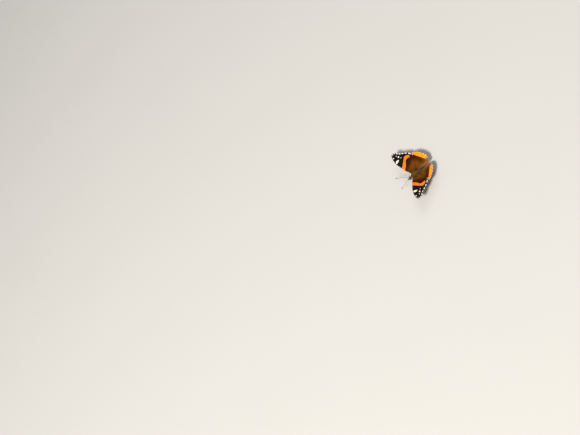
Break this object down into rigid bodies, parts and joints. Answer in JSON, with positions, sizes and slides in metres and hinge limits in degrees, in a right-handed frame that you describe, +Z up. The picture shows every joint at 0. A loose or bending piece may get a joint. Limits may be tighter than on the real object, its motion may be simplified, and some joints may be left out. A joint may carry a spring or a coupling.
{
  "type": "red admiral butterfly",
  "caption": "Still, life-size butterfly resting on its feet with broad scalloped wings held open and slightly raised, a stout hairy body and clubbed antennae.",
  "frame": {"origin": "middle of the base of the bounding box, on the floor under the feet", "axes": "+X along the wing span towards the butterfly's left, -Y towards its head, +Z up"},
  "size_m": [0.0688, 0.0428, 0.0144],
  "materials": {
    "body": "dark brown scales with olive and tawny hairs",
    "eye": "brown faceted compound eye",
    "antenna": "black with fine pale rings and a pale club tip",
    "palp": "brown bristly scales",
    "tongue": "dark ringed tube, coiled",
    "forewing": "velvety scales, black and brown with an orange-red band and white spots",
    "hindwing": "velvety scales, brown with an orange margin",
    "leg": "brown scaled legs"
  },
  "bodies": {
    "root": {"head": "body", "thorax": "body", "abdomen": "body", "proboscis": "tongue", "eye_left": "eye", "antenna_left": "antenna", "palp_left": "palp", "forewing_left": "forewing", "hindwing_left": "hindwing", "foreleg_left": "leg", "midleg_left": "leg", "hindleg_left": "leg", "eye_right": "eye", "antenna_right": "antenna", "palp_right": "palp", "forewing_right": "forewing", "hindwing_right": "hindwing", "foreleg_right": "leg", "midleg_right": "leg", "hindleg_right": "leg"}
  },
  "joints": []
}
